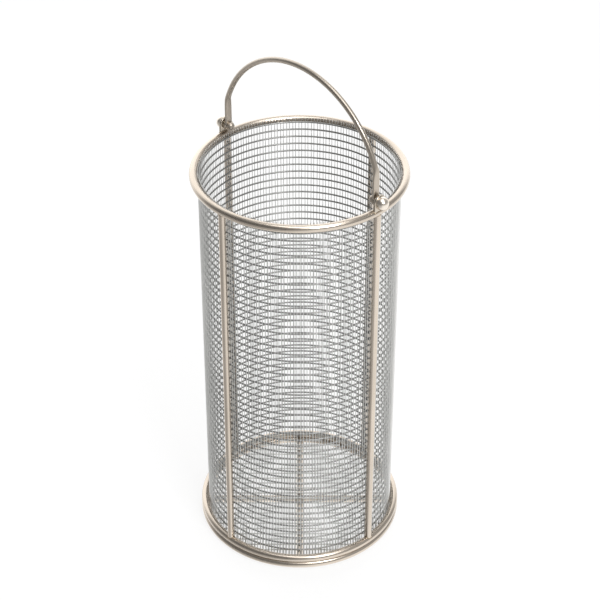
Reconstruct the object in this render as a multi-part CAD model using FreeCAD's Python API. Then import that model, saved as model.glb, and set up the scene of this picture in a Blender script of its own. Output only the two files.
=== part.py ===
"""Basket strainer: a wire-cloth basket in a frame of round rods, with a bail handle that swings.

Origin at the centre of the underside, +Z up, +X along the handle's pivot axis. Millimetres.
The basket is a top ring, two stacked bottom rings, four side rods and a cross of bars under the
bottom cloth. The side cloth stands inside the rings and rods. Two ears on the top ring carry the
bail handle on dome-headed pins.
"""
import FreeCAD
import Part
import math
import os

from FreeCAD import Vector

# --- basket ---------------------------------------------------------------------------------
BASKET_HEIGHT = 339.275      # underside of the lower ring to the top of the top ring
CLOTH_OUTER_RADIUS = 78.5    # outermost wires of the side cloth
RING_ROD_DIAMETER = 6.35     # quarter-inch rod, all three rings
SIDE_ROD_DIAMETER = 5.8
CROSS_BAR_DIAMETER = 6.0
FIRST_ROD_ANGLE = 0.0        # the side rods stand on the X and Y axes
SIDE_ROD_COUNT = 4
CROSS_BAR_ANGLE = 45.0       # the through bar lies halfway between two side rods

# --- wire cloth -----------------------------------------------------------------------------
UPRIGHT_WIRE_DIAMETER = 0.5
HOOP_WIRE_DIAMETER = 1.4
HOOP_PITCH = 6.545
UPRIGHT_PAIR_PITCH = 4.893   # around the hoops; the uprights stand in close pairs
UPRIGHT_PAIR_GAP = 2.15      # between the two wires of a pair, centre to centre
CLOTH_BELOW_RING_TOP = 0.1   # the uprights end this far under the top of the top ring
TOP_HOOP_BELOW_RING_CENTRE = 0.4
WIRE_GAP = 0.1               # between crossing wires

# --- ears and pivots ------------------------------------------------------------------------
EAR_THICKNESS = 2.3
EAR_WIDTH = 11.8
EAR_OFFSET = 1.525           # from the ring's centreline outwards to the middle of the ear
PIN_DIAMETER = 3.2
HEAD_DIAMETER = 10.4         # of the ball that the pin's domed head is cut from
HEAD_HEIGHT = 6.6            # from the ear to the crown of the head
CAP_DIAMETER = 6.6           # of the ball that the pin's cap is cut from
CAP_HEIGHT = 4.2             # from the leg to the crown of the cap
CAP_BORE_DEPTH = 3.0         # blind bore in the flat of the cap
WASHER_THICKNESS = 1.4
WASHER_DIAMETER = 7.0

# --- handle ---------------------------------------------------------------------------------
HANDLE_ROD_DIAMETER = 4.4
LEG_WIDTH = 6.6              # the rod is pressed flat below the kink
LEG_THICKNESS = 2.2
EYE_DIAMETER = 7.8
KINK_HEIGHT = 23.8           # above the pivot axis, where the flat leg meets the round arch
ARCH_BULGE = 4.1             # how far the arch's radius passes the middle of a leg
FLATTENED_TO_ROUND = 7.0     # length of the transition on each side of the kink

# --- clearances -----------------------------------------------------------------------------
WELD_GAP = 0.05              # joint gap between coped ends and what they are welded to
CLOTH_GAP = 0.15             # side cloth to rings and rods
PRESS_GAP = 0.02             # radial, pin in the ear and in its cap
RUNNING_GAP = 0.08           # radial, pin in the handle's eye and in the washer
SIDE_PLAY = 0.15             # along the pin, each face of the leg and of the washer
EYE_OVER_RING = 1.825        # underside of the handle's eye to the top of the top ring
CLOTH_OVER_BAR = 0.1         # bottom cloth to the cross bars
CLOTH_OVER_CLOTH = 0.3       # foot of the side cloth to the top of the bottom cloth

# --- worked out from the sizes above ----------------------------------------------------------
ring_rod_radius = RING_ROD_DIAMETER / 2
side_rod_radius = SIDE_ROD_DIAMETER / 2
bar_radius = CROSS_BAR_DIAMETER / 2
ring_radius = CLOTH_OUTER_RADIUS + CLOTH_GAP + ring_rod_radius
side_rod_place = CLOTH_OUTER_RADIUS + CLOTH_GAP + side_rod_radius
lower_ring_z = ring_rod_radius
upper_ring_z = lower_ring_z + RING_ROD_DIAMETER + WELD_GAP
top_ring_z = BASKET_HEIGHT - ring_rod_radius

upright_radius = UPRIGHT_WIRE_DIAMETER / 2
hoop_wire_radius = HOOP_WIRE_DIAMETER / 2
upright_off_hoop = upright_radius + hoop_wire_radius + WIRE_GAP
upright_place = CLOTH_OUTER_RADIUS - upright_radius
hoop_radius = upright_place - upright_off_hoop
pair_count = round(2 * math.pi * hoop_radius / UPRIGHT_PAIR_PITCH)

heavy_wire_z = lower_ring_z + bar_radius + CLOTH_OVER_BAR + hoop_wire_radius
fine_wire_z = heavy_wire_z + hoop_wire_radius + WIRE_GAP + upright_radius
bottom_cloth_top = fine_wire_z + upright_radius
bottom_cloth_radius = CLOTH_OUTER_RADIUS - CLOTH_GAP
side_cloth_foot = bottom_cloth_top + CLOTH_OVER_CLOTH
side_cloth_top = BASKET_HEIGHT - CLOTH_BELOW_RING_TOP

pivot_z = BASKET_HEIGHT + EYE_OVER_RING + EYE_DIAMETER / 2
ear_middle = ring_radius + EAR_OFFSET
ear_inner = ear_middle - EAR_THICKNESS / 2
ear_outer = ear_middle + EAR_THICKNESS / 2
washer_outer = ear_inner - SIDE_PLAY
washer_inner = washer_outer - WASHER_THICKNESS
leg_outer = washer_inner - SIDE_PLAY
leg_middle = leg_outer - LEG_THICKNESS / 2
leg_inner = leg_outer - LEG_THICKNESS
head_face = ear_outer + WELD_GAP
cap_face = leg_inner - SIDE_PLAY
pin_end = cap_face - CAP_BORE_DEPTH

arch_radius = leg_middle + ARCH_BULGE
kink_rise = math.sqrt(arch_radius ** 2 - leg_middle ** 2)
arch_centre_z = pivot_z + KINK_HEIGHT - kink_rise

X_AXIS = Vector(1, 0, 0)
Y_AXIS = Vector(0, 1, 0)
Z_AXIS = Vector(0, 0, 1)


def save(name, *solids):
    """Write one sub-part, one or more separate solids, as parts/NAME.step."""
    os.makedirs("parts", exist_ok=True)
    shape = solids[0] if len(solids) == 1 else Part.makeCompound(list(solids))
    shape.exportStep("parts/" + name + ".step")


def rod(start, end, radius):
    """A straight round rod between two points."""
    along = end - start
    return Part.makeCylinder(radius, along.Length, start, along)


def ring(radius, rod_radius, z):
    """A closed ring of round rod, lying flat at height z."""
    return Part.makeTorus(radius, rod_radius, Vector(0, 0, z), Z_AXIS)


def hoop(z):
    """One hoop of the side cloth. Its section is an octagon with the round wire's area and flats
    towards the uprights, which keeps so many hoops light."""
    octagon_share = 2 * math.sqrt(2)  # an octagon's area over its corner radius squared
    corner_radius = hoop_wire_radius * math.sqrt(math.pi / octagon_share)
    corners = []
    for number in range(9):
        turn = math.pi / 8 + number * math.pi / 4
        across = hoop_radius + corner_radius * math.cos(turn)
        corners.append(Vector(across, 0, z + corner_radius * math.sin(turn)))
    section = Part.Face(Part.makePolygon(corners))
    return section.revolve(Vector(0, 0, 0), Z_AXIS, 360)


def weld_envelope(z):
    """The space that a frame ring takes, with the weld gap around it."""
    return ring(ring_radius, ring_rod_radius + WELD_GAP, z)


def at_angle(degrees, radius, z):
    """A point at an angle around the basket."""
    turn = math.radians(degrees)
    return Vector(radius * math.cos(turn), radius * math.sin(turn), z)


def plate(outline, x_start, thickness):
    """A flat plate across the pivot axis, from its outline's points and arcs in the YZ plane."""
    face = Part.Face(Part.Wire(outline))
    face.translate(Vector(x_start, 0, 0))
    return face.extrude(Vector(thickness, 0, 0))


def pin_hole(radius, x_start, length):
    """The hole for a pivot pin, along the pivot axis."""
    return Part.makeCylinder(radius, length, Vector(x_start, 0, pivot_z), X_AXIS)


def both_sides(name, solid):
    """Save a pivot piece made for +X as NAME_right, and turned half round as NAME_left."""
    other = solid.copy()
    other.rotate(Vector(0, 0, 0), Z_AXIS, 180)
    save(name + "_right", solid)
    save(name + "_left", other)


def make_rings():
    """The rim and the two rings stacked at the foot."""
    save("top_ring", ring(ring_radius, ring_rod_radius, top_ring_z))
    save("bottom_ring_upper", ring(ring_radius, ring_rod_radius, upper_ring_z))
    save("bottom_ring_lower", ring(ring_radius, ring_rod_radius, lower_ring_z))


def make_side_rods():
    """Side rods outside the cloth, their ends coped to the rings above and below."""
    for number in range(SIDE_ROD_COUNT):
        angle = FIRST_ROD_ANGLE + 360 / SIDE_ROD_COUNT * number
        foot = at_angle(angle, side_rod_place, upper_ring_z)
        head = at_angle(angle, side_rod_place, top_ring_z)
        upright = rod(foot, head, side_rod_radius)
        coped = upright.cut([weld_envelope(upper_ring_z), weld_envelope(top_ring_z)])
        save("side_rod_%d" % (number + 1), coped.Solids[0])


def make_cross_bars():
    """A through bar across the lower ring, and two half bars coped against its middle."""
    centre = Vector(0, 0, lower_ring_z)
    ends = [at_angle(CROSS_BAR_ANGLE + 90 * quarter, ring_radius, lower_ring_z) for quarter in range(4)]
    through = rod(ends[0], ends[2], bar_radius).cut(weld_envelope(lower_ring_z))
    save("cross_bar_through", through.Solids[0])
    middle_gap = rod(ends[0], ends[2], bar_radius + WELD_GAP)
    for name, end in (("cross_bar_half_left", ends[1]), ("cross_bar_half_right", ends[3])):
        half = rod(centre, end, bar_radius).cut([weld_envelope(lower_ring_z), middle_gap])
        save(name, half.Solids[0])


def make_side_cloth():
    """Uprights in close pairs, all standing just outside the hoops, and the hoops they cross."""
    pair_step = 360 / pair_count
    half_pair = math.degrees(UPRIGHT_PAIR_GAP / 2 / hoop_radius)
    uprights = []
    for number in range(pair_count):
        for shift in (-half_pair, half_pair):
            angle = number * pair_step + shift
            foot = at_angle(angle, upright_place, side_cloth_foot)
            head = at_angle(angle, upright_place, side_cloth_top)
            uprights.append(rod(foot, head, upright_radius))
    save("cloth_uprights", *uprights)

    top_hoop_z = top_ring_z - TOP_HOOP_BELOW_RING_CENTRE
    lowest_hoop_z = bottom_cloth_top + WIRE_GAP + hoop_wire_radius
    hoop_count = int((top_hoop_z - lowest_hoop_z) / HOOP_PITCH) + 1
    hoops = [hoop(top_hoop_z - HOOP_PITCH * number) for number in range(hoop_count)]
    save("cloth_hoops", *hoops)


def parallel_wires(pitch, radius, z, turned):
    """Straight wires side by side across the bottom, each cut to the round outline."""
    reach = bottom_cloth_radius - radius
    count = 2 * int(reach / pitch - 0.5) + 2
    wires = []
    for number in range(count):
        across = (number - (count - 1) / 2) * pitch
        half_length = math.sqrt(bottom_cloth_radius ** 2 - (abs(across) + radius) ** 2)
        wire = rod(Vector(-half_length, across, z), Vector(half_length, across, z), radius)
        wire.rotate(Vector(0, 0, 0), Z_AXIS, turned)
        wires.append(wire)
    return wires


def make_bottom_cloth():
    """The round piece of the same cloth that lies on the cross bars, between the stacked rings."""
    fine_pitch = UPRIGHT_PAIR_PITCH / 2
    heavy = parallel_wires(HOOP_PITCH, hoop_wire_radius, heavy_wire_z, CROSS_BAR_ANGLE)
    fine = parallel_wires(fine_pitch, upright_radius, fine_wire_z, CROSS_BAR_ANGLE + 90)
    save("bottom_cloth_heavy", *heavy)
    save("bottom_cloth_fine", *fine)


def make_ears():
    """Round-topped tabs that stand on the outer side of the top ring."""
    half = EAR_WIDTH / 2
    corners = [Vector(0, -half, top_ring_z), Vector(0, half, top_ring_z)]
    shoulders = [Vector(0, half, pivot_z), Vector(0, -half, pivot_z)]
    outline = [
        Part.makeLine(corners[0], corners[1]),
        Part.makeLine(corners[1], shoulders[0]),
        Part.Arc(shoulders[0], Vector(0, 0, pivot_z + half), shoulders[1]).toShape(),
        Part.makeLine(shoulders[1], corners[0]),
    ]
    blank = plate(outline, ear_inner, EAR_THICKNESS)
    hole = pin_hole(PIN_DIAMETER / 2 + PRESS_GAP, ear_inner - 1, EAR_THICKNESS + 2)
    ear = blank.cut([weld_envelope(top_ring_z), hole])
    both_sides("ear", ear.Solids[0])


def dome(face, height, diameter, side):
    """A ball cut flat at x = face, its crown standing out by height: towards +X for side 1, -X for -1."""
    ball_radius = diameter / 2
    ball = Part.makeSphere(ball_radius, Vector(face + side * (height - ball_radius), 0, pivot_z))
    block = Part.makeBox(diameter, diameter, diameter)
    start = face - diameter if side > 0 else face
    block.translate(Vector(start, -ball_radius, pivot_z - ball_radius))
    return ball.cut(block)


def make_pivots():
    """Each pivot: a pin with a domed head outside the ear, a washer, and a domed cap inside the leg."""
    shank = Part.makeCylinder(
        PIN_DIAMETER / 2, head_face + HEAD_HEIGHT / 2 - pin_end, Vector(pin_end, 0, pivot_z), X_AXIS
    )
    pin = dome(head_face, HEAD_HEIGHT, HEAD_DIAMETER, 1).fuse(shank)
    both_sides("pivot_pin", pin.removeSplitter().Solids[0])

    blind_bore = pin_hole(PIN_DIAMETER / 2 + PRESS_GAP, pin_end - PRESS_GAP, CAP_DIAMETER)
    both_sides("pin_cap", dome(cap_face, CAP_HEIGHT, CAP_DIAMETER, -1).cut(blind_bore).Solids[0])

    inner_face = Vector(washer_inner, 0, pivot_z)
    disc = Part.makeCylinder(WASHER_DIAMETER / 2, WASHER_THICKNESS, inner_face, X_AXIS)
    bore = pin_hole(PIN_DIAMETER / 2 + RUNNING_GAP, washer_inner - 1, WASHER_THICKNESS + 2)
    both_sides("washer", disc.cut(bore))


def leg_section(z):
    """The flattened rod's outline at height z: two flats with half-round edges."""
    flat = (LEG_WIDTH - LEG_THICKNESS) / 2
    half = LEG_THICKNESS / 2
    inner = [Vector(leg_middle - half, -flat, z), Vector(leg_middle - half, flat, z)]
    outer = [Vector(leg_middle + half, flat, z), Vector(leg_middle + half, -flat, z)]
    return Part.Wire([
        Part.makeLine(inner[0], inner[1]),
        Part.Arc(inner[1], Vector(leg_middle, LEG_WIDTH / 2, z), outer[0]).toShape(),
        Part.makeLine(outer[0], outer[1]),
        Part.Arc(outer[1], Vector(leg_middle, -LEG_WIDTH / 2, z), inner[0]).toShape(),
    ])


def arch_section(angle):
    """The round rod's outline on the arch, angle in radians up from the arch's centre."""
    radius = HANDLE_ROD_DIAMETER / 2
    outwards = Vector(math.cos(angle), 0, math.sin(angle))
    middle = Vector(0, 0, arch_centre_z) + outwards * arch_radius

    def point(share):
        turn = 2 * math.pi * share
        return middle + outwards * (radius * math.cos(turn)) + Y_AXIS * (radius * math.sin(turn))

    corners = [0.625, 0.375, 0.125, 0.875]
    between = [0.5, 0.25, 0.0, 0.75]
    arcs = []
    for number in range(4):
        start = point(corners[number])
        end = point(corners[(number + 1) % 4])
        arcs.append(Part.Arc(start, point(between[number]), end).toShape())
    return Part.Wire(arcs)


def make_handle():
    """The bail: a round arch, and two legs pressed flat with an eye at the foot of each."""
    kink_angle = math.atan2(kink_rise, leg_middle)
    arch_start = kink_angle + FLATTENED_TO_ROUND / arch_radius
    leg_top = pivot_z + KINK_HEIGHT - FLATTENED_TO_ROUND

    middle = Vector(0, 0, arch_centre_z)
    swept = math.degrees(math.pi - 2 * arch_start)
    arch = Part.makeTorus(
        arch_radius, HANDLE_ROD_DIAMETER / 2, Vector(0, 0, 0), Z_AXIS, -180, 180, swept
    )
    arch.rotate(Vector(0, 0, 0), Z_AXIS, math.degrees(arch_start))
    arch.rotate(Vector(0, 0, 0), X_AXIS, 90)
    arch.translate(middle)

    leg = Part.Face(leg_section(pivot_z)).extrude(Vector(0, 0, leg_top - pivot_z))
    eye = Part.makeCylinder(EYE_DIAMETER / 2, LEG_THICKNESS, Vector(leg_inner, 0, pivot_z), X_AXIS)
    to_round = Part.makeLoft([leg_section(leg_top), arch_section(arch_start)], True, True)
    hole = pin_hole(PIN_DIAMETER / 2 + RUNNING_GAP, leg_inner - 1, LEG_THICKNESS + 2)
    foot = leg.fuse([eye, to_round]).cut(hole)
    other_foot = foot.copy()
    other_foot.rotate(Vector(0, 0, 0), Z_AXIS, 180)
    save("handle", arch.fuse([foot, other_foot]).Solids[0])


make_rings()
make_side_rods()
make_cross_bars()
make_side_cloth()
make_bottom_cloth()
make_ears()
make_pivots()
make_handle()
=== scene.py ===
import math

import bpy
import numpy as np
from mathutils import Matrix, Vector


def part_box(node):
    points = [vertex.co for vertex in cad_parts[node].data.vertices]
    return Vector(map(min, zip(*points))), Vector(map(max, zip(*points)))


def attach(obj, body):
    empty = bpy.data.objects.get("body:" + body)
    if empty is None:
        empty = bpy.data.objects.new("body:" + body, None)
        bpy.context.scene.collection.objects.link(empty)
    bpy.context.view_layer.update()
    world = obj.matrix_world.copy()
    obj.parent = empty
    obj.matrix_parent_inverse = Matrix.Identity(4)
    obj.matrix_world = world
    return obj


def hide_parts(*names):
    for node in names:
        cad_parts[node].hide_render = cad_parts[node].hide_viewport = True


# The basket of a basket strainer: stainless wire cloth in a frame of round rods, with a bail handle that
# swings. Every length is in metres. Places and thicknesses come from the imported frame, and the sizes
# below are those that the frame's boxes don't show.

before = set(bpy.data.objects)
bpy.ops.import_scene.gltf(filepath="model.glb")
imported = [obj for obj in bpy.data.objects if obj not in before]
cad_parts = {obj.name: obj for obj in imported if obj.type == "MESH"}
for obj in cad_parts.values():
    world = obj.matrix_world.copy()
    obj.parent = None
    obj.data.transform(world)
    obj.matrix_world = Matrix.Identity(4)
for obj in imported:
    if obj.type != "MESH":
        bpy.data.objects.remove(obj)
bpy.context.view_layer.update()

MM = 0.001

# --- wire cloth: counted as in the cloth nodes -------------------------------------------------------
HOOP_COUNT = 50
PAIR_COUNT = 99                 # pairs of uprights around the basket
PAIR_GAP = 2.15 * MM            # between the two wires of a pair
UPRIGHT_RADIUS = 0.29 * MM      # uprights and fine bottom wires: 0.04 mm over the nodes', to show more
HOOP_WIRE_RADIUS = 0.7 * MM     # hoops and heavy bottom wires
UPRIGHT_BOW = 0.06 * MM         # how far an upright strays from straight, as a standard deviation
UPRIGHT_SHORT = 0.5 * MM        # the most that an upright stops short at the rim
FINE_COUNT = 64                 # fine wires across the bottom
HEAVY_COUNT = 24                # heavy wires across the bottom
CROSS_BAR_ANGLE = math.radians(45)
WIRE_STATIONS = 20              # points along a straight wire
HOOP_STATIONS = 198
UPRIGHT_SIDES = 6
WIRE_SIDES = 8                  # of hoops and bottom wires

# --- rods --------------------------------------------------------------------------------------------
ROD_SIDES = 28
RING_STATIONS = 288
RING_TRIM = 0.01 * MM           # off a ring's rod, which keeps it inside its node's box

# --- handle ------------------------------------------------------------------------------------------
HANDLE_ROD_RADIUS = 2.2 * MM
LEG_WIDTH = 6.6 * MM
LEG_THICKNESS = 2.2 * MM
LEG_START = 2.0 * MM            # above the pivot axis, inside the eye
KINK_HEIGHT = 23.8 * MM         # above the pivot axis
KINK_SMOOTHING = 5              # passes of averaging that round the kink
ARCH_BULGE = 4.1 * MM           # how far the arch's radius passes the middle of a leg
FLATTENED_LENGTH = 7.0 * MM     # from the kink down to the full flat, and up to the full round
EYE_HOLE_RADIUS = 1.68 * MM
EYE_PROUD = 0.02 * MM           # of the leg's flats

# --- pivots ------------------------------------------------------------------------------------------
PIN_RADIUS = 1.6 * MM
WASHER_HOLE_RADIUS = 1.68 * MM
EAR_HOLE_RADIUS = 1.62 * MM
EAR_FOOT = 0.4 * MM             # above the ring's centreline, so inside its rod
SIDE_PLAY = 0.15 * MM           # between washer and leg
HEAD_GAP = 0.05 * MM            # between the ear and the pin's head
EYE_ROUNDING = 0.35 * MM
WASHER_ROUNDING = 0.15 * MM
EAR_ROUNDING = 0.75 * MM
HEAD_BALL_RADIUS = 5.2 * MM     # of the ball that the pin's head is cut from
CAP_BALL_RADIUS = 3.3 * MM
CROWN_FLAT = 0.003 * MM         # how far short of its crown a ball ends, in a tiny flat
PLATE_STATIONS = 96             # around a hole
TURNED_SIDES = 32

# --- welds -------------------------------------------------------------------------------------------
WELD_RADIUS = 0.4 * MM
WELD_RIPPLE = 0.10              # of the radius
WELD_ROOM = 1.12 * WELD_RADIUS  # a bead's radius with its ripple and a little over
WELD_SIDES = 10
WELD_STATIONS = 64


def span(node):
    """A node's lowest and highest corners, as arrays."""
    low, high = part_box(node)
    return np.array(low), np.array(high)


ring_low, ring_high = span("top_ring")
ring_rod = (ring_high[2] - ring_low[2]) / 2
ring_radius = ring_high[0] - ring_rod
ring_heights = {name: float(np.mean([corner[2] for corner in span(name)]))
                for name in ("top_ring", "bottom_ring_upper", "bottom_ring_lower")}
top_ring_z = ring_heights["top_ring"]

hoops_low, hoops_high = span("cloth_hoops")
uprights_low, uprights_high = span("cloth_uprights")
heavy_low, heavy_high = span("bottom_cloth_heavy")
upright_place = uprights_high[1] - UPRIGHT_RADIUS
hoop_radius = upright_place - UPRIGHT_RADIUS - HOOP_WIRE_RADIUS
top_hoop_z = hoops_high[2] - HOOP_WIRE_RADIUS
hoop_pitch = (hoops_high[2] - hoops_low[2] - 2 * HOOP_WIRE_RADIUS) / (HOOP_COUNT - 1)

pivot_z = float(np.mean([corner[2] for corner in span("washer_right")]))
eye_radius = pivot_z - span("handle")[0][2]
leg_x = span("washer_right")[0][0] - SIDE_PLAY - LEG_THICKNESS / 2


# --- surfaces ----------------------------------------------------------------------------------

def grid_faces(strands, stations, sides, closed):
    """Quads between neighbouring stations and sides of every strand's grid of points. A strand that
    isn't closed gets a flat cap on each end."""
    index = np.arange(strands * stations * sides).reshape(strands, stations, sides)
    here = index if closed else index[:, :-1]
    ahead = np.roll(index, -1, axis=1) if closed else index[:, 1:]
    corners = [here, np.roll(here, -1, axis=2), np.roll(ahead, -1, axis=2), ahead]
    quads = np.stack(corners, axis=-1).reshape(-1, 4)
    caps = np.empty((0, sides), int) if closed else np.concatenate([index[:, 0, ::-1], index[:, -1]])
    return quads, caps


def grid_uv(grid, closed):
    """Metres along a strand and metres around it, for each corner of each quad."""
    strands, stations, sides, _ = grid.shape
    middles = grid.mean(axis=2)
    steps = np.linalg.norm(np.roll(middles, -1, axis=1) - middles, axis=-1)
    along = np.concatenate([np.zeros((strands, 1)), np.cumsum(steps, axis=1)], axis=1)
    edges = np.linalg.norm(np.roll(grid, -1, axis=2) - grid, axis=-1).mean(axis=1)
    girth = np.concatenate([np.zeros((strands, 1)), np.cumsum(edges, axis=1)], axis=1)
    rows = stations if closed else stations - 1
    start = np.broadcast_to(along[:, :rows, None], (strands, rows, sides))
    end = np.broadcast_to(along[:, 1:rows + 1, None], (strands, rows, sides))
    left = np.broadcast_to(girth[:, None, :-1], (strands, rows, sides))
    right = np.broadcast_to(girth[:, None, 1:], (strands, rows, sides))
    corners = [(start, left), (start, right), (end, right), (end, left)]
    return np.stack([np.stack(pair, axis=-1) for pair in corners], axis=-2).reshape(-1, 2)


def add_piece(name, grid, closed, finish, body="basket", stands_for=()):
    """Make a mesh of a grid of points (strand, station, side), with its finish, body and CAD nodes."""
    grid = np.asarray(grid, float)
    grid = grid[None] if grid.ndim == 3 else grid
    strands, stations, sides, _ = grid.shape
    quads, caps = grid_faces(strands, stations, sides, closed)
    loops = np.concatenate([quads.ravel(), caps.ravel()])
    totals = np.concatenate([np.full(len(quads), 4), np.full(len(caps), sides)])
    mesh = bpy.data.meshes.new(name)
    mesh.vertices.add(strands * stations * sides)
    mesh.vertices.foreach_set("co", grid.astype(np.float32).ravel())
    mesh.loops.add(len(loops))
    mesh.loops.foreach_set("vertex_index", loops.astype(np.int32))
    mesh.polygons.add(len(totals))
    mesh.polygons.foreach_set("loop_start", (np.cumsum(totals) - totals).astype(np.int32))
    mesh.polygons.foreach_set("loop_total", totals.astype(np.int32))
    mesh.polygons.foreach_set("use_smooth", np.ones(len(totals), bool))
    uv = np.zeros((len(loops), 2), np.float32)
    uv[:len(quads) * 4] = grid_uv(grid, closed)
    mesh.uv_layers.new(name="lay").data.foreach_set("uv", uv.ravel())
    mesh.update(calc_edges=True)
    mesh.validate()
    mesh.set_sharp_from_angle(angle=math.radians(75))
    mesh.materials.append(finish["material"])
    piece = bpy.data.objects.new(name, mesh)
    bpy.context.scene.collection.objects.link(piece)
    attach(piece, body)
    if stands_for:
        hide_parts(*stands_for)
    return piece


def unit(vectors):
    """The vectors, each at length 1."""
    return vectors / np.linalg.norm(vectors, axis=-1, keepdims=True)


def carry(paths, across, closed, profile):
    """A profile carried along paths (strand, station): each point is the path's, plus the profile's
    first measure along `across` and its second along the tangent crossed with it."""
    paths = np.asarray(paths, float)
    if closed:
        tangent = np.roll(paths, -1, axis=-2) - np.roll(paths, 1, axis=-2)
    else:
        tangent = np.gradient(paths, axis=-2)
    tangent = unit(tangent)
    across = np.broadcast_to(across, paths.shape)
    across = unit(across - tangent * (across * tangent).sum(axis=-1, keepdims=True))
    third = np.cross(tangent, across)
    return (paths[..., None, :] + profile[..., 0:1] * across[..., None, :]
            + profile[..., 1:2] * third[..., None, :])


def round_profile(radius, sides=ROD_SIDES):
    """A circle's points: radius times the cosine and sine. A radius may be an array of stations."""
    turn = np.arange(sides) * 2 * math.pi / sides
    circle = np.stack([np.cos(turn), np.sin(turn)], axis=-1)
    return np.asarray(radius, float)[..., None, None] * circle if np.ndim(radius) else radius * circle


def around(radius, z, stations, start=0.0):
    """A level circle about the basket's axis: radius times cosine and sine of the angle, at z."""
    angle = start + np.arange(stations) * 2 * math.pi / stations
    return np.stack([radius * np.cos(angle), radius * np.sin(angle), np.full(stations, z)], axis=-1)


def line(start, end, stations=24):
    """Evenly spaced points from start to end."""
    share = np.linspace(0, 1, stations)[:, None]
    return np.asarray(start) * (1 - share) + np.asarray(end) * share


UP = np.array([0.0, 0.0, 1.0])
LEAN = np.array([0.01, 0.02, 1.0])      # nearly up, and never along a weld
SIDES = (("right", 1), ("left", -1))


# --- finishes ----------------------------------------------------------------------------------

def srgb(colour):
    """A hex sRGB colour as linear RGBA."""
    values = [int(colour[place:place + 2], 16) / 255 for place in (1, 3, 5)]
    return [v / 12.92 if v <= 0.04045 else ((v + 0.055) / 1.055) ** 2.4 for v in values] + [1.0]


def add_node(tree, kind, settings=None, links=None):
    """Add a node. Settings are its properties, or its inputs by name; links feed its inputs."""
    node = tree.nodes.new(kind)
    for name, value in (settings or {}).items():
        if isinstance(name, str) and hasattr(node, name):
            setattr(node, name, value)
        else:
            node.inputs[name].default_value = value
    for name, output in (links or {}).items():
        tree.links.new(output, node.inputs[name])
    return node


def steel(name, slot, light, dark, roughness, rough_change, lay, bump, patch=9.0):
    """A stainless surface: two tones mixed by fine marks that follow the piece's lay and by broad
    soft patches. `lay` is the marks' frequency along and around the piece, per metre."""
    material = bpy.data.materials.new(name)
    material.use_nodes = True
    tree = material.node_tree
    shader = tree.nodes["Principled BSDF"]
    shader.inputs["Metallic"].default_value = 1.0
    uv = add_node(tree, "ShaderNodeUVMap", {"uv_map": "lay"})
    marks_at = add_node(tree, "ShaderNodeMapping", {"Scale": (lay[0], lay[1], 1.0)},
                        {"Vector": uv.outputs["UV"]})
    marks = add_node(tree, "ShaderNodeTexNoise", {"Scale": 1.0, "Detail": 3.0, "Roughness": 0.6},
                     {"Vector": marks_at.outputs["Vector"]})
    place = add_node(tree, "ShaderNodeTexCoord")
    patches = add_node(tree, "ShaderNodeTexNoise", {"Scale": patch, "Detail": 2.0},
                       {"Vector": place.outputs["Object"]})
    both = add_node(tree, "ShaderNodeMath", {"operation": "MULTIPLY_ADD", 1: 0.5},
                    {0: marks.outputs["Fac"], 2: patches.outputs["Fac"]})
    tone = add_node(tree, "ShaderNodeMapRange", {"From Min": 0.5, "From Max": 1.0},
                    {"Value": both.outputs[0]})
    colour = add_node(tree, "ShaderNodeMix", {"data_type": "RGBA"}, {0: tone.outputs["Result"]})
    colour.inputs[6].default_value = srgb(dark)
    colour.inputs[7].default_value = srgb(light)
    rough = add_node(tree, "ShaderNodeMapRange",
                     {"From Min": 0.3, "From Max": 0.7, "To Min": roughness - rough_change,
                      "To Max": roughness + rough_change}, {"Value": marks.outputs["Fac"]})
    raised = add_node(tree, "ShaderNodeBump", {"Strength": bump, "Distance": 0.05 * MM},
                      {"Height": marks.outputs["Fac"]})
    tree.links.new(colour.outputs[2], shader.inputs["Base Color"])
    tree.links.new(rough.outputs["Result"], shader.inputs["Roughness"])
    tree.links.new(raised.outputs["Normal"], shader.inputs["Normal"])
    return {"material": material, "slot": slot}


# Cold-drawn stainless rod: long die lines along the rod, a soft sheen, slightly warm.
drawn_rod = steel("drawn_stainless_rod", "frame_rod", "#cbc0b3", "#b0a69a", 0.26, 0.06, (25, 2600), 0.2)
# The cross bars are such rod painted in a lighter tone: painted light, making up for the shade that the
# cloth around them casts.
cross_rod = steel("rod_painted_light", "frame_rod", "#e6ddd2", "#d2c8bd", 0.28, 0.06, (25, 2600), 0.12)
# The bail is such rod bent and pressed flat at its legs, so a little darker and duller.
bail_rod = steel("drawn_stainless_bail", "handle_rod", "#bbb1a5", "#9f978c", 0.34, 0.06, (25, 2600), 0.12)
# Drawn wire with faint marks, painted a pale grey on uprights and heavy bottom wires: painted light, so that
# dense cloth stays light.
upright_wire = steel("wire_painted_light", "wire_cloth", "#d6d6d4", "#c8c8c6", 0.34, 0.05, (200, 3000), 0.1)
# The same wire painted a darker grey on hoops and fine bottom wires: painted shade, so that they read as
# dark lines across the pale ones.
hoop_wire = steel("wire_painted_shade", "wire_cloth", "#989896", "#868684", 0.36, 0.05,
                  (200, 3000), 0.1)
# Turned heads are bright, with fine rings around the pin's axis.
turned_head = steel("turned_stainless", "pivot_hardware", "#e2d9cd", "#cfc6ba", 0.30, 0.05, (6000, 60), 0.2)
# Tumbled caps are duller than the heads, with no direction to their marks.
tumbled_cap = steel("tumbled_stainless", "pivot_hardware", "#b8aea2", "#9d958a", 0.42, 0.05, (900, 900), 0.2)
# Ears and washers are punched from cold-rolled strip: even, satin.
punched_strip = steel("punched_stainless_strip", "pivot_hardware", "#c6bcae", "#a8a094", 0.28, 0.06,
                      (900, 900), 0.2)
# Weld metal is left as laid: uneven, with a straw tint from the heat.
weld_metal = steel("stainless_weld", "frame_rod", "#bba98f", "#8f8375", 0.36, 0.08, (1500, 700), 0.4)


# --- frame of rods -------------------------------------------------------------------------------

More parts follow.
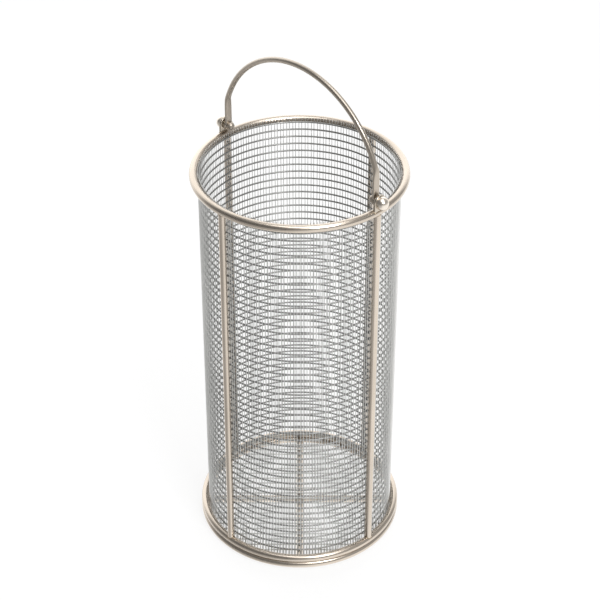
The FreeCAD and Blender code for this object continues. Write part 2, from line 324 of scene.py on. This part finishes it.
def make_rings():
    """The rim and the two foot rings: a round profile carried around a level circle."""
    for name, z in ring_heights.items():
        path = around(ring_radius, z, RING_STATIONS)
        add_piece(name + "_rod", carry(path, UP, True, round_profile(ring_rod - RING_TRIM)), True,
                  drawn_rod, stands_for=[name])


def rod_ends(node):
    """The middle line of an upright side rod, run into the rings above and below it."""
    low, high = span(node)
    x, y = (low[:2] + high[:2]) / 2
    foot = np.array([x, y, ring_heights["bottom_ring_upper"]])
    head = np.array([x, y, top_ring_z])
    return foot, head, float(min(high[0] - low[0], high[1] - low[1])) / 2


def make_side_rods():
    """Straight round rods."""
    for number in range(1, 5):
        foot, head, radius = rod_ends("side_rod_%d" % number)
        outward = unit(np.array([foot[0], foot[1], 0.0]))
        bar = carry(line(foot, head), -outward, False, round_profile(radius))
        add_piece("side_rod_%d_bar" % number, bar, False, drawn_rod, stands_for=["side_rod_%d" % number])


def make_cross():
    """The through bar and the two half bars, each a straight round rod run into the lower ring."""
    z = ring_heights["bottom_ring_lower"]
    low, high = span("cross_bar_through")
    radius = (high[2] - low[2]) / 2
    for name, turn, start in (
        ("cross_bar_through", 0, -ring_radius),
        ("cross_bar_half_left", math.pi / 2, 0.0),
        ("cross_bar_half_right", -math.pi / 2, 0.0),
    ):
        direction = np.array([math.cos(CROSS_BAR_ANGLE + turn), math.sin(CROSS_BAR_ANGLE + turn), 0])
        path = line(direction * start + UP * z, direction * ring_radius + UP * z)
        add_piece(name + "_rod", carry(path, UP, False, round_profile(radius)), False,
                  cross_rod, stands_for=[name])


# --- wire cloth ----------------------------------------------------------------------------------

def make_uprights():
    """Straight uprights in close pairs just outside the hoops. Each bows by a few hundredths of a
    millimetre, a sine of its height, and ends a little unevenly at the rim."""
    chance = np.random.default_rng(5)
    half_pair = PAIR_GAP / 2 / hoop_radius
    pairs = np.arange(PAIR_COUNT) * 2 * math.pi / PAIR_COUNT
    straight = np.stack([pairs - half_pair, pairs + half_pair], axis=-1).ravel()[:, None]
    share = np.linspace(0, 1, WIRE_STATIONS)
    foot = uprights_low[2]
    heads = uprights_high[2] - chance.uniform(0, UPRIGHT_SHORT, straight.shape)
    z = foot + (heads - foot) * share
    bow = chance.normal(0, UPRIGHT_BOW, straight.shape)
    phase = chance.uniform(0, 2, straight.shape)
    angle = straight + bow * np.sin(math.pi * (2 * share + phase)) / upright_place
    outward = np.stack([np.cos(angle), np.sin(angle), np.zeros_like(angle)], axis=-1)
    paths = upright_place * outward + z[..., None] * UP
    wires = carry(paths, outward, False, round_profile(UPRIGHT_RADIUS, UPRIGHT_SIDES))
    add_piece("cloth_upright_wires", wires, False, upright_wire, stands_for=["cloth_uprights"])


def make_hoops():
    """Level hoops at an even pitch: a round profile carried around each circle."""
    heights = top_hoop_z - hoop_pitch * np.arange(HOOP_COUNT)
    paths = around(hoop_radius, 0.0, HOOP_STATIONS)[None] + heights[:, None, None] * UP
    hoops = carry(paths, UP, True, round_profile(HOOP_WIRE_RADIUS, WIRE_SIDES))
    add_piece("cloth_hoop_wires", hoops, True, hoop_wire, stands_for=["cloth_hoops"])


def make_bottom_cloth():
    """The same cloth lying flat: straight heavy wires with fine wires across them, each as long as
    the round outline leaves it, half of it the square root of radius squared less offset squared."""
    outline = heavy_high[0]
    along = np.array([math.cos(CROSS_BAR_ANGLE), math.sin(CROSS_BAR_ANGLE), 0])
    across = np.array([-along[1], along[0], 0])
    fine_pitch = math.pi * hoop_radius / PAIR_COUNT
    heavy_z = heavy_low[2] + HOOP_WIRE_RADIUS
    fine_z = heavy_z + HOOP_WIRE_RADIUS + UPRIGHT_RADIUS
    for name, count, pitch, radius, runs, beside, z, finish, node in (
        ("bottom_heavy_wires", HEAVY_COUNT, hoop_pitch, HOOP_WIRE_RADIUS, along, across, heavy_z,
         upright_wire, "bottom_cloth_heavy"),
        ("bottom_fine_wires", FINE_COUNT, fine_pitch, UPRIGHT_RADIUS, across, -along, fine_z,
         hoop_wire, "bottom_cloth_fine"),
    ):
        offsets = (np.arange(count) - (count - 1) / 2) * pitch
        half = np.sqrt(outline ** 2 - (np.abs(offsets) + radius) ** 2)
        run = half[:, None] * np.linspace(-1, 1, WIRE_STATIONS)
        paths = run[..., None] * runs + offsets[:, None, None] * beside + z * UP
        add_piece(name, carry(paths, UP, False, round_profile(radius, WIRE_SIDES)), False,
                  finish, stands_for=[node])


# --- handle and pivots -----------------------------------------------------------------------------

def pierced_plate(middle, half_thickness, hole, outline, rounding):
    """A flat plate across the pivot axis with a round hole: around the hole, at each angle, a loop
    runs out over one face to the outline, over the rounded edge, and back over the other face."""
    turns = np.arange(PLATE_STATIONS) * 2 * math.pi / PLATE_STATIONS
    reach = outline(turns)[:, None]
    bend = np.linspace(0, math.pi / 2, 4)
    flat = half_thickness - rounding
    out_r = reach - rounding + rounding * np.sin(bend)
    out_x = flat + rounding * np.cos(bend)
    in_r = hole + rounding * (1 - np.sin(bend[::-1]))
    in_r = np.broadcast_to(in_r, (len(turns), 4))
    in_x = flat + rounding * np.cos(bend[::-1])
    radius = np.concatenate([in_r, out_r, out_r[:, ::-1], in_r[:, ::-1]], axis=1)
    x = np.concatenate([in_x, out_x, -out_x[::-1], -in_x[::-1]])
    y = radius * np.cos(turns)[:, None]
    z = pivot_z + radius * np.sin(turns)[:, None]
    return np.stack([np.broadcast_to(middle + x, radius.shape), y, z], axis=-1)


def disc_outline(radius):
    """A round plate's outline: the same reach at every angle."""
    return lambda turns: np.full(len(turns), radius)


def tab_outline(half_width, drop):
    """An ear's outline: round over the pin, straight sides below it, and a level foot."""
    def reach(turns):
        level = half_width / np.maximum(np.abs(np.cos(turns)), 1e-6)
        below = drop / np.maximum(-np.sin(turns), 1e-6)
        return np.where(np.sin(turns) >= 0, half_width, np.minimum(level, below))
    return reach


def mirrored(grid, side):
    """The grid as made for +X, or turned half round the basket's axis for -X."""
    return grid if side > 0 else grid * np.array([-1, -1, 1])


def lathe(stations):
    """A turned solid along the pivot axis: a round profile carried along it, from (x, radius) pairs."""
    stations = np.asarray(stations, float)
    path = np.stack([stations[:, 0], np.zeros(len(stations)), np.full(len(stations), pivot_z)], axis=-1)
    turn = np.arange(TURNED_SIDES) * 2 * math.pi / TURNED_SIDES
    ring = np.stack([np.zeros(TURNED_SIDES), np.cos(turn), np.sin(turn)], axis=-1)
    return path[:, None, :] + stations[:, 1][:, None, None] * ring


def ball_stations(centre, radius, start, end, count=16):
    """Stations of a ball along the pivot axis from x = start to x = end, closer together at the poles."""
    first = math.acos(max(-1, min(1, (start - centre) / radius)))
    last = math.acos(max(-1, min(1, (end - centre) / radius)))
    turn = np.linspace(first, last, count)
    return np.stack([centre + radius * np.cos(turn), radius * np.sin(turn)], axis=-1)


def make_ears_and_washers():
    """Flat plates with a hole, for +X and turned half round for -X."""
    for name, side in SIDES:
        low, high = span("ear_right")
        outline = tab_outline((high[1] - low[1]) / 2, pivot_z - top_ring_z - EAR_FOOT)
        ear = pierced_plate((low[0] + high[0]) / 2, (high[0] - low[0]) / 2, EAR_HOLE_RADIUS, outline,
                            EAR_ROUNDING)
        add_piece("ear_tab_" + name, mirrored(ear, side), True, punched_strip, stands_for=["ear_" + name])

        low, high = span("washer_right")
        disc = pierced_plate((low[0] + high[0]) / 2, (high[0] - low[0]) / 2, WASHER_HOLE_RADIUS,
                             disc_outline((high[2] - low[2]) / 2), WASHER_ROUNDING)
        add_piece("washer_disc_" + name, mirrored(disc, side), True, punched_strip,
                  stands_for=["washer_" + name])


def make_pins_and_caps():
    """Turned pins with a domed head outside the ear, and domed caps on their inner ends."""
    for name, side in SIDES:
        low, high = span("pivot_pin_right")
        ear_face = span("ear_right")[1][0] + HEAD_GAP
        head = ball_stations(high[0] - HEAD_BALL_RADIUS, HEAD_BALL_RADIUS, ear_face, high[0] - CROWN_FLAT)
        shank = [(low[0], PIN_RADIUS), (ear_face, PIN_RADIUS)]
        add_piece("pin_" + name, mirrored(lathe(np.concatenate([shank, head])), side), False,
                  turned_head, stands_for=["pivot_pin_" + name])

        low, high = span("pin_cap_right")
        cap = ball_stations(low[0] + CAP_BALL_RADIUS, CAP_BALL_RADIUS, low[0] + CROWN_FLAT, high[0])
        add_piece("pin_cap_dome_" + name, mirrored(lathe(cap), side), False,
                  tumbled_cap, stands_for=["pin_cap_" + name])


def bail_path():
    """The bail's middle line: straight up one leg, an arc of a circle over the top, and down the other
    leg, its kinks rounded by averaging neighbours. Also the same points before rounding."""
    radius = leg_x + ARCH_BULGE
    rise = math.sqrt(radius ** 2 - leg_x ** 2)
    centre_z = pivot_z + KINK_HEIGHT - rise
    kink = math.atan2(rise, leg_x)
    leg = np.linspace(LEG_START, KINK_HEIGHT, 40)[:-1]
    arch = np.linspace(kink, math.pi - kink, 160)
    x = np.concatenate([np.full(len(leg), leg_x), radius * np.cos(arch), np.full(len(leg), -leg_x)])
    z = np.concatenate([pivot_z + leg, centre_z + radius * np.sin(arch), pivot_z + leg[::-1]])
    sharp = np.stack([x, np.zeros(len(x)), z], axis=-1)
    path = sharp.copy()
    for _ in range(KINK_SMOOTHING):
        path[1:-1] = (path[:-2] + 2 * path[1:-1] + path[2:]) / 4
    return path, sharp


def make_bail():
    """The bail: its profile goes from a flat with half-round edges to a circle across each kink, by a
    smooth step of the distance along. An eye stands at the foot of each leg."""
    path, sharp = bail_path()
    steps = np.linalg.norm(np.diff(path, axis=0), axis=-1)
    along = np.concatenate([[0], np.cumsum(steps)])
    from_end = np.minimum(along, along[-1] - along) + LEG_START
    share = np.clip((from_end - (KINK_HEIGHT - FLATTENED_LENGTH)) / (2 * FLATTENED_LENGTH), 0, 1)
    share = share * share * (3 - 2 * share)
    turn = (np.arange(ROD_SIDES) + 0.5) * 2 * math.pi / ROD_SIDES
    circle = HANDLE_ROD_RADIUS * np.stack([np.cos(turn), np.sin(turn)], axis=-1)
    edge = LEG_THICKNESS / 2
    half_round = edge * np.stack([np.cos(turn), np.sin(turn)], axis=-1)
    flat = half_round + np.stack([0 * turn, np.sign(np.sin(turn)) * (LEG_WIDTH / 2 - edge)], axis=-1)
    profile = flat[None] * (1 - share)[:, None, None] + circle[None] * share[:, None, None]
    inward = np.stack([sharp[:, 0], sharp[:, 1], (sharp[:, 2] - pivot_z) * share], axis=-1)
    add_piece("bail_rod", carry(path, inward, False, profile), False, bail_rod, "bail", ["handle"])
    for name, side in SIDES:
        eye = pierced_plate(leg_x, LEG_THICKNESS / 2 + EYE_PROUD, EYE_HOLE_RADIUS, disc_outline(eye_radius),
                            EYE_ROUNDING)
        add_piece("bail_eye_" + name, mirrored(eye, side), True, bail_rod, "bail", ["handle"])


# --- welds -----------------------------------------------------------------------------------------

def ring_height(x, y, ring_z, side):
    """Height of a ring's surface above (side 1) or below (side -1) a point, kept on the round."""
    off = np.clip(np.hypot(x, y) - ring_radius, -0.97 * ring_rod, 0.97 * ring_rod)
    return ring_z + side * np.sqrt(ring_rod ** 2 - off ** 2)


def bead(loop, ripples, across=LEAN):
    """A closed bead of weld along a loop of points: a round profile whose radius ripples."""
    ripple = 1 + WELD_RIPPLE * np.sin(ripples * weld_turn)
    return carry(loop, across, True, round_profile(WELD_RADIUS * ripple, WELD_SIDES))


weld_turn = np.arange(WELD_STATIONS) * 2 * math.pi / WELD_STATIONS


def weld_side_rods():
    """A bead around each end of each side rod: the rod's circle laid on the ring's surface."""
    beads = []
    for number in range(1, 5):
        foot, head, radius = rod_ends("side_rod_%d" % number)
        for end, side in ((foot, 1), (head, -1)):
            x = end[0] + radius * np.cos(weld_turn)
            y = end[1] + radius * np.sin(weld_turn)
            beads.append(bead(np.stack([x, y, ring_height(x, y, end[2], side)], axis=-1), 11))
    add_piece("side_rod_welds", np.stack(beads), True, weld_metal)


def weld_cross():
    """A bead where each bar meets the lower ring and where each half bar meets the through bar: the
    bar's circle pushed out to the surface it meets, and kept off the floor."""
    low, high = span("cross_bar_through")
    radius = (high[2] - low[2]) / 2
    room = ring_rod - WELD_ROOM
    aside = radius * np.cos(weld_turn)
    rise = np.clip(radius * np.sin(weld_turn), -room, room)
    ring_face = ring_radius - np.sqrt(ring_rod ** 2 - rise ** 2)
    reach_ring = np.sqrt(ring_face ** 2 - aside ** 2)
    reach_bar = np.sqrt(radius ** 2 - (0.98 * rise) ** 2)
    beads = []
    for quarter, reach in ((0, reach_ring), (1, reach_ring), (2, reach_ring), (3, reach_ring),
                           (1, reach_bar), (3, reach_bar)):
        heading = CROSS_BAR_ANGLE + quarter * math.pi / 2
        out = np.array([math.cos(heading), math.sin(heading), 0.0])
        beside = np.array([-out[1], out[0], 0.0])
        loop = reach[:, None] * out + aside[:, None] * beside
        loop[:, 2] = ring_heights["bottom_ring_lower"] + rise
        beads.append(bead(loop, 13, unit(aside[:, None] * beside + rise[:, None] * UP)))
    add_piece("cross_bar_welds", np.stack(beads), True, weld_metal)


def weld_ears():
    """A bead around each ear's foot: an oblong with cut corners laid on the top ring."""
    low, high = span("ear_right")
    middle = (low[0] + high[0]) / 2
    half_x = (high[0] - low[0]) / 2
    half_y = (high[1] - low[1]) / 2
    beads = []
    for _, side in SIDES:
        x = side * (middle + half_x * np.clip(1.5 * np.cos(weld_turn), -1, 1))
        y = side * half_y * np.clip(1.5 * np.sin(weld_turn), -1, 1)
        beads.append(bead(np.stack([x, y, ring_height(x, y, top_ring_z, 1)], axis=-1), 17))
    add_piece("ear_welds", np.stack(beads), True, weld_metal)


make_rings()
make_side_rods()
make_cross()
make_uprights()
make_hoops()
make_bottom_cloth()
make_ears_and_washers()
make_pins_and_caps()
make_bail()
weld_side_rods()
weld_cross()
weld_ears()


# --- floor, light and camera -------------------------------------------------------------------------

FLOOR_HALF = 12.0
SURROUND_GREY = 0.5             # strength above the horizon
SURROUND_LEFT = 2.0             # the same on the left
SURROUND_BELOW = 1.45           # strength below the horizon
FRONT_SHARE = 0.43              # of the strength, straight in front
LEFT = (-0.85, 0.52, 0.0)
FRONT = (-0.25, -0.97, 0.0)


def make_floor():
    """A plain pale floor under the lower ring, lit through from below like a product table. It isn't
    seen in reflections, where the surround below the horizon takes its place."""
    half = FLOOR_HALF
    mesh = bpy.data.meshes.new("floor")
    corners = [(-half, -half, 0), (half, -half, 0), (half, half, 0), (-half, half, 0)]
    mesh.from_pydata(corners, [], [(0, 1, 2, 3)])
    floor = bpy.data.objects.new("floor", mesh)
    bpy.context.scene.collection.objects.link(floor)
    material = bpy.data.materials.new("pale_floor")
    material.use_nodes = True
    shader = material.node_tree.nodes["Principled BSDF"]
    shader.inputs["Base Color"].default_value = srgb("#7c7c7c")
    shader.inputs["Roughness"].default_value = 0.9
    shader.inputs["Emission Color"].default_value = srgb("#ffffff")
    shader.inputs["Emission Strength"].default_value = 0.78
    mesh.materials.append(material)
    floor.visible_glossy = False


def add_light(name, place, aim, size, power):
    """A square soft light at a place, turned to face a point."""
    lamp = bpy.data.lights.new(name, "AREA")
    lamp.shape = "SQUARE"
    lamp.size = size
    lamp.energy = power
    light = bpy.data.objects.new(name, lamp)
    bpy.context.scene.collection.objects.link(light)
    light.location = place
    away = Vector(place) - Vector(aim)
    light.rotation_euler = away.to_track_quat("Z", "Y").to_euler()


def make_light():
    """A studio surround: pale below, bright to the left, grey elsewhere and darker in front, with a
    broad softbox overhead and a smaller one high on the right."""
    world = bpy.data.worlds.new("studio")
    world.use_nodes = True
    tree = world.node_tree
    direction = add_node(tree, "ShaderNodeTexCoord").outputs["Generated"]
    left = add_node(tree, "ShaderNodeVectorMath", {"operation": "DOT_PRODUCT", 1: LEFT},
                      {0: direction})
    lit = add_node(tree, "ShaderNodeMapRange",
                      {"interpolation_type": "SMOOTHSTEP", "From Min": 0.3, "From Max": 0.8},
                      {"Value": left.outputs["Value"]})
    wall = add_node(tree, "ShaderNodeMix", {"data_type": "FLOAT", 2: SURROUND_GREY, 3: SURROUND_LEFT},
                    {0: lit.outputs["Result"]})
    height = add_node(tree, "ShaderNodeSeparateXYZ", {}, {"Vector": direction})
    under = add_node(tree, "ShaderNodeMapRange",
                     {"interpolation_type": "SMOOTHSTEP", "From Min": 0.05, "From Max": -0.2},
                     {"Value": height.outputs["Z"]})
    level = add_node(tree, "ShaderNodeMix", {"data_type": "FLOAT", 3: SURROUND_BELOW},
                     {0: under.outputs["Result"], 2: wall.outputs[0]})
    front = add_node(tree, "ShaderNodeVectorMath", {"operation": "DOT_PRODUCT", 1: FRONT},
                     {0: direction})
    shade = add_node(tree, "ShaderNodeMapRange",
                     {"interpolation_type": "SMOOTHSTEP", "From Min": 0.2, "From Max": 0.75, "To Min": 1.0,
                      "To Max": FRONT_SHARE}, {"Value": front.outputs["Value"]})
    shaded = add_node(tree, "ShaderNodeMath", {"operation": "MULTIPLY"},
                      {0: level.outputs[0], 1: shade.outputs["Result"]})
    tree.links.new(shaded.outputs[0], tree.nodes["Background"].inputs["Strength"])
    tree.nodes["Background"].inputs["Color"].default_value = srgb("#ffffff")
    bpy.context.scene.world = world
    add_light("overhead", (0.35, -0.1, 2.1), (0, 0, 0.3), 1.3, 14)
    add_light("right_box", (1.45, -0.45, 1.75), (0, 0, 0.3), 0.6, 20)


def make_camera():
    """A long lens on the object from azimuth 45 and elevation 35.1 degrees."""
    azimuth = math.radians(45)
    elevation = math.radians(35.1)
    distance = 1.4531
    back = np.array([math.sin(azimuth) * math.cos(elevation), -math.cos(azimuth) * math.cos(elevation),
                     math.sin(elevation)])
    aim = np.array([0, 0, 0.2153])
    data = bpy.data.cameras.new("camera")
    data.lens = 108.18
    data.sensor_width = 36.0
    data.shift_x = 0.00065
    camera = bpy.data.objects.new("camera", data)
    bpy.context.scene.collection.objects.link(camera)
    camera.location = aim + back * distance
    camera.rotation_euler = Vector(back).to_track_quat("Z", "Y").to_euler()
    bpy.context.scene.camera = camera


make_floor()
make_light()
make_camera()
bpy.context.scene.view_settings.view_transform = "Standard"
